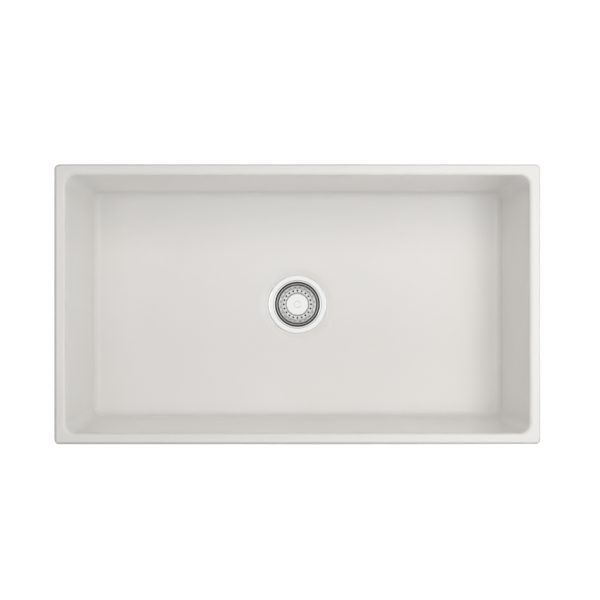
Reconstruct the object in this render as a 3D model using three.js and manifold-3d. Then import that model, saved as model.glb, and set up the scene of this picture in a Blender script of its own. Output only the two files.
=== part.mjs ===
// A farmhouse apron front sink: a glazed fireclay basin with its basket strainer.
// Millimetres, +Z up, +X to the right, the apron faces -Y.
// The origin is on the plane of the basin's foot, straight below the middle of the drain.
import * as THREE from "three";
import { mergeVertices } from "three/addons/utils/BufferGeometryUtils.js";
import Module from "manifold-3d";

const wasm = await Module();
wasm.setup();

// ---- Driving sizes: the fireclay basin ----
const basinWidth = 838;
const basinLength = 483; // apron to back
const bowlDepth = 229; // rim to the low point of the floor
const floorThickness = 25; // foot plane to that low point
const wallThickness = 19; // at the rim
const sideDraft = 3; // how far an end wall leans in from rim to floor
const frontDraft = 6.5; // the same for the apron wall and the back wall
const bowlCornerRadius = 18;
const floorFillet = 9;
const floorFall = 3; // from the fillet down to the drain recess
const lipRadius = 6; // inner edge of the rim
const outerEdgeRadius = 4; // outer edge of the rim
const outerCornerRadius = 6;
const leastCorner = 0.5; // no rounding takes a corner below this radius
const footWidth = 30;
const footHeight = 6; // the underside panel lies this far above the foot
const footSlope = 8;
const footEdgeRadius = 5;
const drainHoleRadius = 46;
const drainHoleChamfer = 1.5;
const recessDepth = 4; // shallow dish round the drain, which takes the flange
const recessSlope = 11; // how far the dish's cone runs outwards
const recessBend = 2; // how far the bends at its two ends reach
const recessClearance = 2; // flange to the foot of the slope
const bossWidth = 20; // thicker ring under the drain
const bossGap = 3; // and how far it stays above the foot plane

// ---- Driving sizes: the strainer body ----
const seat = 0.3; // gap between pieces that rest on each other
const bodyClearance = 1.2; // body to drain hole
const bodySheet = 1.4;
const bodyBend = 1; // inside bend where the wall turns into the flange
const flangeWidth = 11.2; // mouth bend to outer edge
const flangeCrown = 0.7;
const crownInset = 2.2; // the crown ends in a fine step this far from the mouth bend
const threadSpare = 8; // threaded wall left below the lock nut
const coneHeight = 12;
const landWidth = 10; // level ring round the outlet, where the stopper seals
const pipeRadius = 19.05; // 1-1/2 inch drain pipe, which sets the outlet and the tailpiece
const spigotWall = 4.4;
const spigotLength = 22;
const spiderDrop = 11; // cone to the ledge that carries the spider
const spiderLedge = 1.5;

// ---- Driving sizes: gasket, washers and lock nut ----
const gasketThickness = 1.6;
const gasketWidth = 9;
const gasketInset = 1; // from the edge of the flange
const washerWidth = 12;
const underWasherThickness = 3;
const frictionWasherThickness = 1.2;
const threadGap = 0.4; // between a nut and what it screws on
const lockNutWall = 7;
const lockNutHeight = 11;
const lockNutSkirt = 3;
const lockNutSkirtHeight = 2.5;
const lockNutLugs = 8;
const lockNutLugReach = 5.5;
const lockNutLugWidth = 12;
const nutChamfer = 1.2;

// ---- Driving sizes: the outlet ----
const spiderHeight = 4;
const spiderRingWidth = 2;
const spiderArms = 4;
const spiderArmWidth = 3;
const spiderArmHeight = 3;
const hubWall = 3;
const hubHeight = 8;
const tailWasherThickness = 2;
const tailpieceSheet = 1.2;
const tailpieceLength = 102;
const tailpieceFlange = 2;
const couplingWall = 3.4;
const couplingGrip = 12; // how much of the spigot the coupling nut covers
const couplingFloor = 3;
const couplingThroat = 1.4; // coupling nut to tailpiece
const couplingRibs = 8;
const couplingRibReach = 2.4;
const couplingRibWidth = 7;
const ribTaper = 0.65; // width at the tip of a lug or rib, as a share of its root
const ribRoot = 1; // lugs and ribs start this deep inside their ring

// ---- Driving sizes: the basket, which lifts out ----
const basketDrop = 3; // rim of the basket below the flange
const basketGap = 1.6; // rim of the basket to the strainer body
const basketSheet = 1;
const beadRadius = 0.9;
const basketDepth = 16.5;
const wallDrop = 12.4; // height of the steep wall
const wallLean = 2.7;
const slopeRun = 6.7; // slotted slope between the steep wall and the floor
const slopeBend = 1.2; // how far the bends at its two ends reach
const wallSlots = 20;
const slotLength = 6.6;
const slotWidth = 1.2;
const floorHoles = 20;
const floorHoleRadius = 1.9;
const floorHoleInset = 3.4; // slope to the middle of a hole

// ---- Driving sizes: the knob, the post and the stopper ----
const knobRadius = 21.3;
const knobHeight = 15.2;
const knobEdge = 1.1;
const knobWaistInset = 5;
const knobFootInset = 2.5;
const knobFootHeight = 2.4;
const capSheet = 0.8;
const capSkirt = 4.5;
const dimpleRadius = 7;
const dimpleDepth = 1.1;
const postRadius = 5;
const postNeckRadius = 4; // through the basket floor, the plate, the seal and the nut
const postEndRadius = 2.4;
const postEndLength = 7;
const postInKnob = 10;
const collarRadius = 10;
const collarHeight = 3;
const sealOverlap = 6.5; // seal beyond the edge of the outlet
const sealThickness = 5;
const sealEdge = 0.8;
const sealGroove = 1.6; // lies over the edge of the outlet
const sealHubInset = 6.5;
const sealPlateInset = 2;
const sealPlateThickness = 1;
const nutFlats = 13;
const nutHeight = 4.5;
const nutWasherMargin = 1.5;
const nutWasherThickness = 1;
const neckSpare = 1; // neck below the nut
const tipRadius = 4.6;
const tipLength = 12;
const tipNose = 2;
const gripRingSection = 0.8;
const gripRingStand = 0.15; // how far the ring stands out of the tip
const gripRingPlay = 0.1; // ring to its groove
const gripRingDrop = 5; // top of the tip to the ring

// ---- Facets ----
const roundSteps = 36; // round the large revolved pieces
const smallSteps = 24; // and round the small ones
const bendSteps = 3;
const cornerSteps = 4; // round a corner of the basin
const holeSteps = 8; // round a hole in the basket
const filletSteps = 4;
const fanStep = 9; // degrees between the basin's points, seen from the middle

// ---- Heights and radii worked out from them, from the foot plane up and down ----
const basinHeight = floorThickness + bowlDepth;
const recessFloor = floorThickness - recessDepth;
const gasketBottom = recessFloor + seat;
const flangeUnder = gasketBottom + gasketThickness + seat;
const flangeFace = flangeUnder + bodySheet;
const flangeTop = flangeFace + flangeCrown;

const bodyOuter = drainHoleRadius - bodyClearance;
const bodyInner = bodyOuter - bodySheet;
const mouthRadius = bodyBend + bodySheet;
const flangeRadius = bodyInner + mouthRadius + flangeWidth;
const crownRadius = bodyInner + mouthRadius + crownInset;

const washerInner = bodyOuter + threadGap;
const underWasherTop = bossGap - seat;
const underWasherBottom = underWasherTop - underWasherThickness;
const frictionWasherTop = underWasherBottom - seat;
const frictionWasherBottom = frictionWasherTop - frictionWasherThickness;
const lockNutTop = frictionWasherBottom - seat;
const lockNutBottom = lockNutTop - lockNutHeight;

const straightEnd = lockNutBottom - threadSpare;
const landRadius = pipeRadius + landWidth;
const landTop = straightEnd - coneHeight;
const landUnder = landTop - bodySheet;
const spigotRadius = pipeRadius + spigotWall;
const spigotEnd = landUnder - spigotLength;
const ledgeTop = landUnder - spiderDrop;

const tailWasherTop = spigotEnd - seat;
const tailWasherBottom = tailWasherTop - tailWasherThickness;
const tailFlangeTop = tailWasherBottom - seat;
const tailFlangeBottom = tailFlangeTop - tailpieceFlange;
const tailFlangeRadius = spigotRadius - seat;
const tailpieceInner = pipeRadius - tailpieceSheet;
const couplingFloorTop = tailFlangeBottom - seat;
const couplingInner = spigotRadius + threadGap;

const basketRimTop = flangeTop - basketDrop;
const basketRimRadius = bodyInner - basketGap;
const basketFloorTop = basketRimTop - basketDepth;
const basketFloorUnder = basketFloorTop - basketSheet;
const wallTop = new THREE.Vector2(basketRimRadius - 2 * beadRadius, basketRimTop - beadRadius);
const wallFoot = new THREE.Vector2(wallTop.x - wallLean, wallTop.y - wallDrop);
const slopeFoot = new THREE.Vector2(wallFoot.x - slopeRun, basketFloorTop);

const knobBase = basketFloorTop + seat;
const knobTop = knobBase + knobHeight;
const capBottom = knobTop - capSkirt;
const neckBore = postNeckRadius + seat; // hole in all that the neck goes through
const sealRadius = pipeRadius + sealOverlap;
const sealHubRadius = sealRadius - sealHubInset;
const sealBottom = landTop + seat;
const sealTop = sealBottom + sealThickness;
const sealPlateBottom = sealTop + seat;
const sealPlateTop = sealPlateBottom + sealPlateThickness;
const nutCorner = nutFlats / Math.sqrt(3);
const nutWasherTop = sealBottom - seat;
const nutWasherBottom = nutWasherTop - nutWasherThickness;
const nutTop = nutWasherBottom - seat;
const nutBottom = nutTop - nutHeight;
const neckBottom = nutBottom - neckSpare;
const tipTop = neckBottom - seat;
const tipBottom = tipTop - tipLength;
const gripRingHeight = tipTop - gripRingDrop;
const gripRingMiddle = tipRadius + gripRingStand - gripRingSection; // radius of its middle line

// ---- Shaping tools ----
const at = (r, z) => new THREE.Vector2(r, z);

// Points on an arc round (r, z), angles in degrees.
function arc(r, z, radius, from, to, steps = bendSteps) {
  return Array.from({ length: steps + 1 }, (_, i) => {
    const angle = THREE.MathUtils.degToRad(from + ((to - from) * i) / steps);
    return at(r + radius * Math.cos(angle), z + radius * Math.sin(angle));
  });
}

// The other side of a sheet that follows a line, as mitred points in reverse order.
// The thickness lies to the left of the way the line runs.
function otherSide(line, thickness) {
  const last = line.length - 1;
  const leftOf = (i) => {
    const way = line[i + 1].clone().sub(line[i]).normalize();
    return at(-way.y, way.x);
  };
  return line
    .map((point, i) => {
      const before = leftOf(Math.max(i - 1, 0));
      const after = leftOf(Math.min(i, last - 1));
      const mitre = before.clone().add(after).divideScalar(1 + before.dot(after));
      return point.clone().addScaledVector(mitre, thickness);
    })
    .reverse();
}

// Turns a closed outline of (radius, height) points round the Z axis.
function revolve(outline, steps = roundSteps) {
  const ring = THREE.ShapeUtils.isClockWise(outline) ? [...outline].reverse() : [...outline];
  ring.push(ring[0].clone());
  return new THREE.LatheGeometry(ring, steps).rotateX(Math.PI / 2);
}

// A flat washer between two radii and two heights.
function washer(inner, outer, low, high, steps = roundSteps) {
  return revolve([at(inner, low), at(outer, low), at(outer, high), at(inner, high)], steps);
}

// A flat outline raised between two heights.
function upright(shape, low, high) {
  const geometry = new THREE.ExtrudeGeometry(shape, {
    depth: high - low,
    bevelEnabled: false,
    curveSegments: smallSteps / 2,
  });
  return geometry.translate(0, 0, low);
}

function solidOf(geometry) {
  const bare = geometry.clone();
  bare.deleteAttribute("normal");
  bare.deleteAttribute("uv");
  const merged = mergeVertices(bare);
  return new wasm.Manifold(
    new wasm.Mesh({
      numProp: 3,
      vertProperties: merged.attributes.position.array,
      triVerts: new Uint32Array(merged.index.array),
    }),
  );
}

function geometryOf(solid) {
  const mesh = solid.getMesh();
  const geometry = new THREE.BufferGeometry();
  geometry.setAttribute("position", new THREE.BufferAttribute(mesh.vertProperties, 3));
  geometry.setIndex(new THREE.BufferAttribute(mesh.triVerts, 1));
  geometry.computeVertexNormals();
  return geometry;
}

function join(base, pieces) {
  return geometryOf(pieces.reduce((solid, piece) => solid.add(solidOf(piece)), solidOf(base)));
}

function cut(base, pieces) {
  return geometryOf(pieces.reduce((solid, piece) => solid.subtract(solidOf(piece)), solidOf(base)));
}

// Copies of one geometry, spread evenly round the Z axis.
function roundPattern(count, geometry, firstAngle = 0) {
  return Array.from({ length: count }, (_, i) =>
    geometry.clone().rotateZ(firstAngle + (2 * Math.PI * i) / count),
  );
}

// Tapered lugs that stand out of a ring of the given outer radius.
function lugsOn(outer, count, reach, width, low, high) {
  const root = width / 2;
  const tip = root * ribTaper;
  const shape = new THREE.Shape([
    at(outer - ribRoot, -root),
    at(outer + reach, -tip),
    at(outer + reach, tip),
    at(outer - ribRoot, root),
  ]);
  return roundPattern(count, upright(shape, low, high));
}

// ---- The basin: one loft through matched outlines, from the drain to the rim and back under ----

// The bowl's half sizes at a height, following the draft of its walls.
function bowlHalf(z) {
  const lean = (basinHeight - z) / bowlDepth;
  return {
    x: basinWidth / 2 - wallThickness - sideDraft * lean,
    y: basinLength / 2 - wallThickness - frontDraft * lean,
  };
}

// Where the points of a straight side fall, so that from the middle they fan out evenly.
function fanShares(along, across) {
  const reach = Math.atan2(along, across);
  const count = Math.max(2, Math.round((2 * reach) / THREE.MathUtils.degToRad(fanStep)));
  return Array.from({ length: count - 1 }, (_, i) => {
    const angle = -reach + (2 * reach * (i + 1)) / count;
    return (1 + (across * Math.tan(angle)) / along) / 2;
  });
}

const floorEdge = floorThickness + floorFall;
const floorHalf = bowlHalf(floorEdge + floorFillet);
const endShares = fanShares(floorHalf.y - bowlCornerRadius, floorHalf.x);
const longShares = fanShares(floorHalf.x - bowlCornerRadius, floorHalf.y);

// A level outline with round corners: corner arcs joined by divided straight sides.
function rectangleRing(halfX, halfY, corner, z) {
  const radius = Math.max(corner, leastCorner);
  const bends = [
    arc(halfX - radius, halfY - radius, radius, 0, 90, cornerSteps),
    arc(radius - halfX, halfY - radius, radius, 90, 180, cornerSteps),
    arc(radius - halfX, radius - halfY, radius, 180, 270, cornerSteps),
    arc(halfX - radius, radius - halfY, radius, 270, 360, cornerSteps),
  ];
  const points = bends.flatMap((bend, index) => {
    const next = bends[(index + 1) % bends.length];
    const shares = index % 2 === 0 ? longShares : endShares;
    return [...bend, ...shares.map((share) => bend[cornerSteps].clone().lerp(next[0], share))];
  });
  return points.map((p) => new THREE.Vector3(p.x, p.y, z));
}

const fanRing = rectangleRing(floorHalf.x, floorHalf.y, bowlCornerRadius, 0);

// A round outline whose points lie in the same directions as the bowl's.
function circleRing(radius, z) {
  return fanRing.map((p) => {
    const angle = Math.atan2(p.y, p.x);
    return new THREE.Vector3(radius * Math.cos(angle), radius * Math.sin(angle), z);
  });
}

// The skin over matched rings; the last ring joins the first, so it closes on itself.
function loft(rings) {
  const count = rings[0].length;
  const faces = [];
  for (let r = 0; r < rings.length; r++) {
    const here = r * count;
    const there = ((r + 1) % rings.length) * count;
    for (let i = 0; i < count; i++) {
      const j = (i + 1) % count;
      faces.push(here + i, there + i, there + j);
      faces.push(here + i, there + j, here + j);
    }
  }
  const positions = rings.flat().flatMap((p) => [p.x, p.y, p.z]);
  const geometry = new THREE.BufferGeometry();
  geometry.setAttribute("position", new THREE.Float32BufferAttribute(positions, 3));
  geometry.setIndex(faces);
  geometry.computeVertexNormals();
  return geometry;
}

// The drain hole's wall and the recess, whose cone bends into its floor and into the bowl's.
function drainRings() {
  const coneFoot = at(flangeRadius + recessClearance, recessFloor);
  const coneEdge = at(coneFoot.x + recessSlope, floorThickness);
  const way = coneEdge.clone().sub(coneFoot).normalize();
  const profile = [
    at(drainHoleRadius, bossGap + drainHoleChamfer),
    at(drainHoleRadius, recessFloor - drainHoleChamfer),
    at(drainHoleRadius + drainHoleChamfer, recessFloor),
    at(coneFoot.x - recessBend, recessFloor),
    coneFoot.clone().addScaledVector(way, recessBend),
    coneEdge.clone().addScaledVector(way, -recessBend),
    at(coneEdge.x + recessBend, floorThickness),
  ];
  return profile.map((p) => circleRing(p.x, p.y));
}

// The floor's edge bends up into the walls, and the walls end in the lip.
function bowlRings() {
  const fillet = arc(-floorFillet, floorEdge + floorFillet, floorFillet, -90, 0, filletSteps);
  const rimHalf = bowlHalf(basinHeight);
  const lip = arc(lipRadius, basinHeight - lipRadius, lipRadius, 180, 90);
  return [
    ...fillet.map((p) => rectangleRing(floorHalf.x + p.x, floorHalf.y + p.x, bowlCornerRadius + p.x, p.y)),
    ...lip.map((p) => rectangleRing(rimHalf.x + p.x, rimHalf.y + p.x, bowlCornerRadius + p.x, p.y)),
  ];
}

// The outside, drawn as its distance from the basin's outer faces.
function outsideRings() {
  const outerEdge = arc(-outerEdgeRadius, basinHeight - outerEdgeRadius, outerEdgeRadius, 90, 0);
  const footEdge = arc(-footEdgeRadius, footEdgeRadius, footEdgeRadius, 0, -90);
  return [...outerEdge, ...footEdge].map((p) =>
    rectangleRing(basinWidth / 2 + p.x, basinLength / 2 + p.x, outerCornerRadius + p.x, p.y),
  );
}

// The foot runs all round; inside it are the underside panel and the drain boss.
function undersideRings() {
  const footInner = footEdgeRadius + footWidth;
  const panel = footInner + footSlope;
  const bossRadius = drainHoleRadius + bossWidth;
  return [
    rectangleRing(basinWidth / 2 - footInner, basinLength / 2 - footInner, bowlCornerRadius, 0),
    rectangleRing(basinWidth / 2 - panel, basinLength / 2 - panel, bowlCornerRadius, footHeight),
    circleRing(bossRadius + (footHeight - bossGap), footHeight),
    circleRing(bossRadius, bossGap),
    circleRing(drainHoleRadius + drainHoleChamfer, bossGap),
  ];
}

const basinGeometry = () =>
  loft([...drainRings(), ...bowlRings(), ...outsideRings(), ...undersideRings()]);

// ---- The strainer body: a crowned flange, a threaded wall, a cone and the outlet spigot ----
function strainerBodyGeometry() {
  const crown = Array.from({ length: filletSteps + 1 }, (_, i) => {
    const angle = (Math.PI / 2) * (1 - i / filletSteps);
    const reach = (flangeRadius - crownRadius) * Math.sin(angle);
    return at(crownRadius + reach, flangeFace + flangeCrown * Math.cos(angle));
  });
  const sheet = [
    ...arc(bodyInner + mouthRadius, flangeFace - mouthRadius, mouthRadius, 90, 180),
    at(bodyInner, straightEnd),
    at(landRadius, landTop),
    at(pipeRadius, landTop),
  ];
  const [, ...underside] = otherSide(sheet, bodySheet);
  return revolve([
    at(flangeRadius, flangeUnder),
    ...crown,
    at(crownRadius, flangeFace),
    ...sheet,
    at(pipeRadius, ledgeTop),
    at(pipeRadius - spiderLedge, ledgeTop),
    at(pipeRadius - spiderLedge, spigotEnd),
    at(spigotRadius, spigotEnd),
    at(spigotRadius, landUnder),
    ...underside,
  ]);
}

const gasketGeometry = () =>
  washer(
    flangeRadius - gasketInset - gasketWidth,
    flangeRadius - gasketInset,
    gasketBottom,
    gasketBottom + gasketThickness,
  );

const clampWasherGeometry = (low, high) => washer(washerInner, washerInner + washerWidth, low, high);

function lockNutGeometry() {
  const outer = washerInner + lockNutWall;
  const skirtBottom = lockNutTop - lockNutSkirtHeight;
  const ring = revolve([
    at(washerInner, lockNutBottom),
    at(outer - nutChamfer, lockNutBottom),
    at(outer, lockNutBottom + nutChamfer),
    at(outer, skirtBottom),
    at(outer + lockNutSkirt, skirtBottom),
    at(outer + lockNutSkirt, lockNutTop),
    at(washerInner, lockNutTop),
  ]);
  const low = lockNutBottom + nutChamfer;
  const high = lockNutTop - nutChamfer;
  return join(ring, lugsOn(outer, lockNutLugs, lockNutLugReach, lockNutLugWidth, low, high));
}

// ---- The outlet ----

// A ring on the ledge carries the hub that guides the basket's post.
function spiderGeometry() {
  const ringOuter = pipeRadius - seat;
  const ringInner = ringOuter - spiderRingWidth;
  const low = ledgeTop + seat;
  const high = low + spiderHeight;
  const hubBore = tipRadius + seat;
  const hubOuter = hubBore + hubWall;
  const ring = washer(ringInner, ringOuter, low, high);
  const hub = washer(hubBore, hubOuter, high - hubHeight, high, smallSteps);
  const armFrom = hubOuter - hubWall / 2;
  const armTo = ringInner + spiderRingWidth / 2;
  const arm = new THREE.BoxGeometry(armTo - armFrom, spiderArmWidth, spiderArmHeight);
  arm.translate((armFrom + armTo) / 2, 0, low + spiderHeight / 2);
  return join(ring, [hub, ...roundPattern(spiderArms, arm)]);
}

const tailWasherGeometry = () =>
  washer(pipeRadius - spiderLedge, tailFlangeRadius, tailWasherBottom, tailWasherTop);

function tailpieceGeometry() {
  const bottom = tailFlangeTop - tailpieceLength;
  return revolve([
    at(tailpieceInner, bottom),
    at(pipeRadius, bottom),
    at(pipeRadius, tailFlangeBottom),
    at(tailFlangeRadius, tailFlangeBottom),
    at(tailFlangeRadius, tailFlangeTop),
    at(tailpieceInner, tailFlangeTop),
  ]);
}

function couplingNutGeometry() {
  const outer = couplingInner + couplingWall;
  const throat = pipeRadius + couplingThroat;
  const bottom = couplingFloorTop - couplingFloor;
  const top = spigotEnd + couplingGrip;
  const ring = revolve([
    at(throat, bottom),
    at(outer - nutChamfer, bottom),
    at(outer, bottom + nutChamfer),
    at(outer, top),
    at(couplingInner, top),
    at(couplingInner, couplingFloorTop),
    at(throat, couplingFloorTop),
  ]);
  const low = bottom + nutChamfer;
  const high = top - nutChamfer;
  return join(ring, lugsOn(outer, couplingRibs, couplingRibReach, couplingRibWidth, low, high));
}

// ---- The basket cup: sheet with a beaded rim, a slotted slope and a pierced floor ----
function basketCupGeometry() {
  const slopeWay = wallFoot.clone().sub(slopeFoot);
  const slopeAngle = slopeWay.angle();
  const wallWay = wallTop.clone().sub(wallFoot).normalize();
  slopeWay.normalize();
  const sheet = [
    wallTop,
    wallFoot.clone().addScaledVector(wallWay, slopeBend),
    wallFoot.clone().addScaledVector(slopeWay, -slopeBend),
    slopeFoot.clone().addScaledVector(slopeWay, slopeBend),
    at(slopeFoot.x - slopeBend, slopeFoot.y),
    at(neckBore, basketFloorTop),
  ];
  const bead = arc(wallTop.x + beadRadius, wallTop.y, beadRadius, -90, 150, 2 * bendSteps);
  const cup = revolve([...sheet, ...otherSide(sheet, basketSheet).slice(0, -1), ...bead]);

  const punch = 4 * basketSheet; // length of the cutting tools
  const hole = new THREE.CylinderGeometry(floorHoleRadius, floorHoleRadius, punch, holeSteps);
  hole.rotateX(Math.PI / 2).translate(slopeFoot.x - floorHoleInset, 0, basketFloorTop - basketSheet / 2);
  const slot = new THREE.BoxGeometry(slotWidth, slotLength, punch);
  slot.rotateY(-slopeAngle).translate((wallFoot.x + slopeFoot.x) / 2, 0, (wallFoot.y + slopeFoot.y) / 2);
  return cut(cup, [
    ...roundPattern(floorHoles, hole),
    ...roundPattern(wallSlots, slot, Math.PI / wallSlots),
  ]);
}

// ---- The knob: a pressed cap with a shallow dimple, over a waisted core ----
function knobCapGeometry() {
  const dimpleSphere = (dimpleRadius ** 2 + dimpleDepth ** 2) / (2 * dimpleDepth);
  const half = THREE.MathUtils.radToDeg(Math.asin(dimpleRadius / dimpleSphere));
  const sphereHeight = knobTop - dimpleDepth + dimpleSphere;
  const sheet = [
    at(knobRadius, capBottom),
    ...arc(knobRadius - knobEdge, knobTop - knobEdge, knobEdge, 0, 90),
    ...arc(0, sphereHeight, dimpleSphere, half - 90, -90),
  ];
  return revolve([...sheet, ...otherSide(sheet, capSheet)], smallSteps);
}

function knobCoreGeometry() {
  const top = knobTop - capSheet - dimpleDepth - seat;
  const shoulder = knobRadius - capSheet - seat;
  const waist = knobRadius - knobWaistInset;
  const boreTop = knobBase + postInKnob + seat;
  return revolve(
    [
      at(0, top),
      at(shoulder - knobEdge, top),
      at(shoulder, top - knobEdge),
      at(shoulder, capBottom),
      at(waist + knobEdge, capBottom - knobEdge),
      at(waist, (knobBase + capBottom) / 2),
      at(waist, knobBase + knobFootHeight),
      at(knobRadius - knobFootInset, knobBase),
      at(neckBore, knobBase),
      at(neckBore, boreTop),
      at(0, boreTop),
    ],
    smallSteps,
  );
}

// ---- The post and the stopper on it ----

// The neck goes up through the basket floor into the knob, and down through the seal and the nut.
function postGeometry() {
  const knobEnd = knobBase + postInKnob;
  const collarTop = basketFloorUnder - seat;
  const collarBottom = collarTop - collarHeight;
  const shoulder = sealPlateTop + seat;
  const endBottom = neckBottom - postEndLength;
  return revolve(
    [
      at(0, knobEnd),
      at(postNeckRadius, knobEnd),
      at(postNeckRadius, collarTop),
      at(collarRadius, collarTop),
      at(collarRadius, collarTop - collarHeight / 2),
      at(postRadius, collarBottom),
      at(postRadius, shoulder),
      at(postNeckRadius, shoulder),
      at(postNeckRadius, neckBottom),
      at(postEndRadius, neckBottom),
      at(postEndRadius, endBottom),
      at(0, endBottom),
    ],
    smallSteps,
  );
}

const sealPlateGeometry = () =>
  washer(neckBore, sealHubRadius - sealPlateInset, sealPlateBottom, sealPlateTop, smallSteps);

function stopperSealGeometry() {
  return revolve(
    [
      at(neckBore, sealBottom),
      at(pipeRadius - sealGroove, sealBottom),
      at(pipeRadius, sealBottom + sealGroove / 2),
      at(pipeRadius + sealGroove, sealBottom),
      at(sealRadius - sealEdge, sealBottom),
      at(sealRadius, sealBottom + sealEdge),
      at(sealRadius - sealEdge, sealBottom + 2 * sealEdge),
      at(sealHubRadius + sealEdge, sealTop - sealEdge),
      at(sealHubRadius, sealTop),
      at(neckBore, sealTop),
    ],
    smallSteps,
  );
}

const nutWasherGeometry = () =>
  washer(neckBore, nutCorner + nutWasherMargin, nutWasherBottom, nutWasherTop, smallSteps);

function retainingNutGeometry() {
  const hexagon = new THREE.Shape(arc(0, 0, nutCorner, 0, 300, 5));
  hexagon.holes.push(new THREE.Path().absarc(0, 0, neckBore, 0, 2 * Math.PI, true));
  return upright(hexagon, nutBottom, nutTop);
}

// The tip is pushed on the post's end and carries the ring that holds the basket up in the hub.
function postTipGeometry() {
  const grooveRadius = gripRingMiddle - gripRingSection - gripRingPlay;
  const grooveTop = gripRingHeight + gripRingSection + gripRingPlay;
  const grooveBottom = gripRingHeight - gripRingSection - gripRingPlay;
  const bore = postEndRadius + seat;
  const boreBottom = neckBottom - postEndLength - seat;
  return revolve(
    [
      at(bore, tipTop),
      at(tipRadius, tipTop),
      at(tipRadius, grooveTop),
      at(grooveRadius, grooveTop),
      at(grooveRadius, grooveBottom),
      at(tipRadius, grooveBottom),
      at(tipRadius, tipBottom + tipNose),
      at(tipRadius - tipNose / 2, tipBottom),
      at(0, tipBottom),
      at(0, boreBottom),
      at(bore, boreBottom),
    ],
    smallSteps,
  );
}

const gripRingGeometry = () =>
  revolve(arc(gripRingMiddle, gripRingHeight, gripRingSection, 0, 300, 5), smallSteps);

// ---- Finishes ----
const finish = (color, roughness, metalness) =>
  new THREE.MeshStandardMaterial({ color, roughness, metalness });
const glaze = finish(0xe6e4e0, 0.12, 0);
const polishedSteel = finish(0xd8d8d6, 0.18, 1);
const brushedSteel = finish(0xb9babb, 0.35, 1);
const castZinc = finish(0xa9abad, 0.45, 1);
const blackRubber = finish(0x232323, 0.8, 0);
const greyRubber = finish(0x6d6f70, 0.8, 0);
const fibre = finish(0x9a7b54, 0.9, 0);
const whitePlastic = finish(0xe9e9e6, 0.45, 0);

function piece(name, geometry, material) {
  const mesh = new THREE.Mesh(geometry, material);
  mesh.name = name;
  return mesh;
}

// ---- The assembly ----
const fixed = new THREE.Group();
fixed.add(
  piece("fireclay_basin", basinGeometry(), glaze),
  piece("flange_gasket", gasketGeometry(), greyRubber),
  piece("strainer_body", strainerBodyGeometry(), polishedSteel),
  piece("under_washer", clampWasherGeometry(underWasherBottom, underWasherTop), blackRubber),
  piece("friction_washer", clampWasherGeometry(frictionWasherBottom, frictionWasherTop), fibre),
  piece("lock_nut", lockNutGeometry(), castZinc),
  piece("outlet_spider", spiderGeometry(), brushedSteel),
  piece("tailpiece_washer", tailWasherGeometry(), whitePlastic),
  piece("tailpiece", tailpieceGeometry(), polishedSteel),
  piece("coupling_nut", couplingNutGeometry(), castZinc),
);

const stopper = new THREE.Group(); // rises with the basket, but doesn't turn with the knob
stopper.add(
  piece("seal_plate", sealPlateGeometry(), brushedSteel),
  piece("stopper_seal", stopperSealGeometry(), blackRubber),
);

const basket = new THREE.Group(); // rises and turns
basket.add(
  piece("basket_cup", basketCupGeometry(), polishedSteel),
  piece("knob_cap", knobCapGeometry(), polishedSteel),
  piece("knob_core", knobCoreGeometry(), whitePlastic),
  piece("post", postGeometry(), brushedSteel),
  piece("nut_washer", nutWasherGeometry(), brushedSteel),
  piece("retaining_nut", retainingNutGeometry(), brushedSteel),
  piece("post_tip", postTipGeometry(), whitePlastic),
  piece("grip_ring", gripRingGeometry(), blackRubber),
);

const sink = new THREE.Group();
sink.add(fixed, stopper, basket);
export default sink;
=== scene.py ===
from math import atan2, cos, floor, hypot, pi, radians, sin, tan

import bmesh
import bpy
from mathutils import Matrix, Vector


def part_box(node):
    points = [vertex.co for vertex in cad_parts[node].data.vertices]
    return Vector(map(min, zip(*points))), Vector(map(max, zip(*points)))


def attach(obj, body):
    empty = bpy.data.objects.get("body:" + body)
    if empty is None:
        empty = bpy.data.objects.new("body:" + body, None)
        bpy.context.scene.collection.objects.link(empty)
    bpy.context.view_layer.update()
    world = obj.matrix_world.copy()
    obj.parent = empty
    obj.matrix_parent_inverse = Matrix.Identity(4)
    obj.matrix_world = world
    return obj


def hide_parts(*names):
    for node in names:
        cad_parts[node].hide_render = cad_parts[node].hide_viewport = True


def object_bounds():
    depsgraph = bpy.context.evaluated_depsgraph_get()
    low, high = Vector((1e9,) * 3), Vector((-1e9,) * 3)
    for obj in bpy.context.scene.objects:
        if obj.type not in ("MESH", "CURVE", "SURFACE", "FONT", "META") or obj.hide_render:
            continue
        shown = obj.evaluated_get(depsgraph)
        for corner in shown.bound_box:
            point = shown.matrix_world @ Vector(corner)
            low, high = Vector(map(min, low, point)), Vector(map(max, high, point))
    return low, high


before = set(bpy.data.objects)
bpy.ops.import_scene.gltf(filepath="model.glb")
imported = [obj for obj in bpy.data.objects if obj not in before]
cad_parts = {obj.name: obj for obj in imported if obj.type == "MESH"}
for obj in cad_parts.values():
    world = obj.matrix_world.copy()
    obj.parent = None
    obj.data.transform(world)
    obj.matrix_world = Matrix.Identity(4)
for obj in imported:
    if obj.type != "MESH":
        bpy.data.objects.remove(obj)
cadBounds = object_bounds()
mm = 0.001  # outlines and dictionaries are in millimetres, Blender is in metres
scene = bpy.context.scene
scene.view_settings.view_transform = "Standard"
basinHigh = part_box("fireclay_basin")[1]  # its far corner, on the rim
touching = 0.01  # points closer than this to a radius lie on that wall


# lowest height, highest height and radius of a round CAD node, in millimetres
def spanOf(node):
    low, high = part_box(node)
    return low.z / mm, high.z / mm, high.x / mm


def addObject(name, data):
    made = bpy.data.objects.new(name, data)
    scene.collection.objects.link(made)
    return made


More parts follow.
